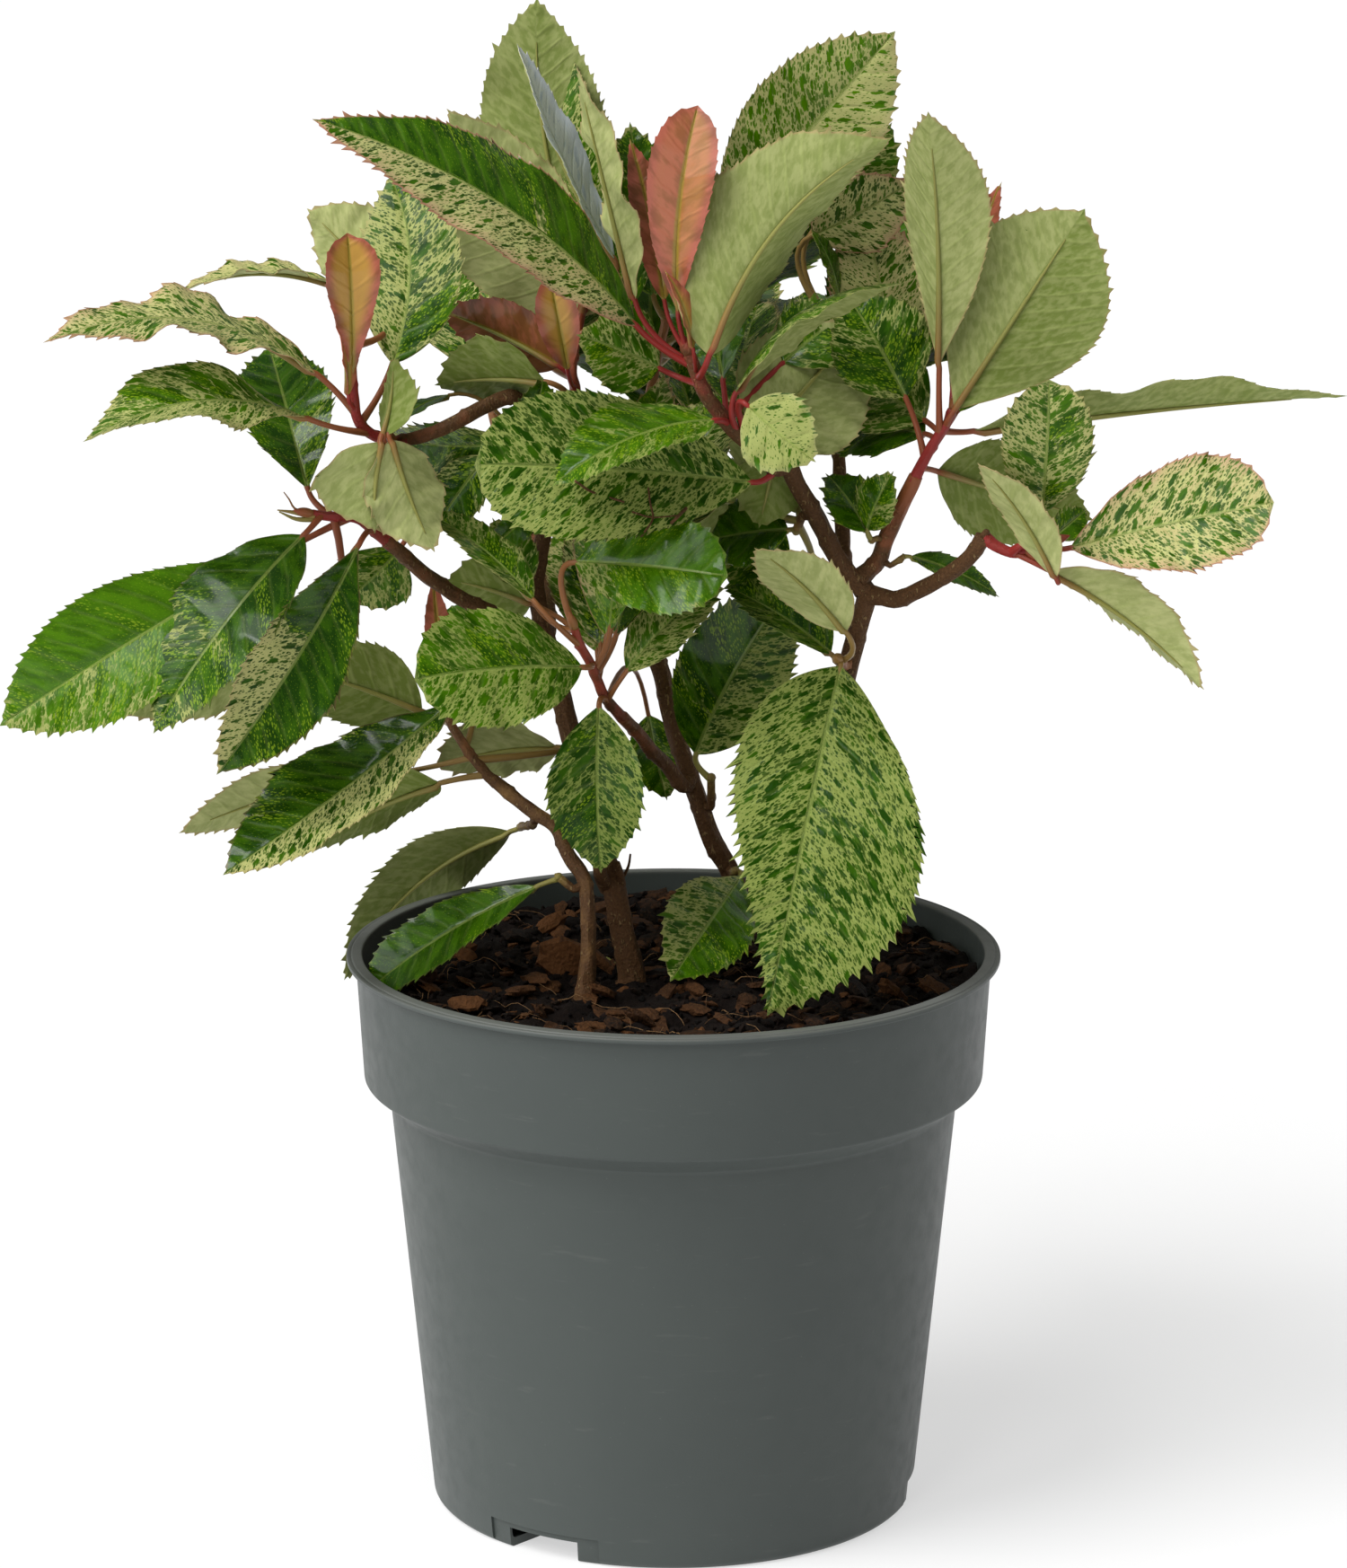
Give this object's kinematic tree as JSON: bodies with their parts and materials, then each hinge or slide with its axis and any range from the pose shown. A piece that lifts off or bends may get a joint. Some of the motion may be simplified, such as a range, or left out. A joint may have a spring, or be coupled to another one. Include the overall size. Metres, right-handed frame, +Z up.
{
  "type": "potted shrub",
  "caption": "Evergreen shrub with marbled leaves and a few red young shoots, standing in a round plastic nursery pot of bark compost.",
  "frame": {"origin": "middle of the pot's flat underside, on the pot's axis", "axes": "+Z up along the pot's axis; the side shown in the picture faces -Y, and +X is to its right"},
  "size_m": [0.3765, 0.2705, 0.437],
  "materials": {
    "pot": "dark grey-green moulded plastic, satin",
    "compost": "damp peat with bark chips",
    "bark": "thin brown bark",
    "foliage": "leathery leaves, dark green marbled with cream"
  },
  "bodies": {
    "root": {"bough_back": "bark", "bough_back_left": "bark", "bough_back_right": "bark", "bough_front": "bark", "bough_left": "bark", "bough_right": "bark", "bough_right_up": "bark", "bough_upper_left": "bark", "compost": "compost", "foliage_back": "foliage", "foliage_back_left": "foliage", "foliage_back_right": "foliage", "foliage_back_top": "foliage", "foliage_centre": "foliage", "foliage_fork_left": "foliage", "foliage_fork_right": "foliage", "foliage_front": "foliage", "foliage_in_pot": "foliage", "foliage_inner": "foliage", "foliage_inner_right": "foliage", "foliage_left": "foliage", "foliage_low_left": "foliage", "foliage_low_right": "foliage", "foliage_middle": "foliage", "foliage_over_rim": "foliage", "foliage_pot_back": "foliage", "foliage_right": "foliage", "foliage_right_top": "foliage", "foliage_top": "foliage", "foliage_upper_left": "foliage", "pot": "pot", "stem_back": "bark", "stem_left": "bark", "stem_middle": "bark", "stem_right": "bark"}
  },
  "joints": []
}
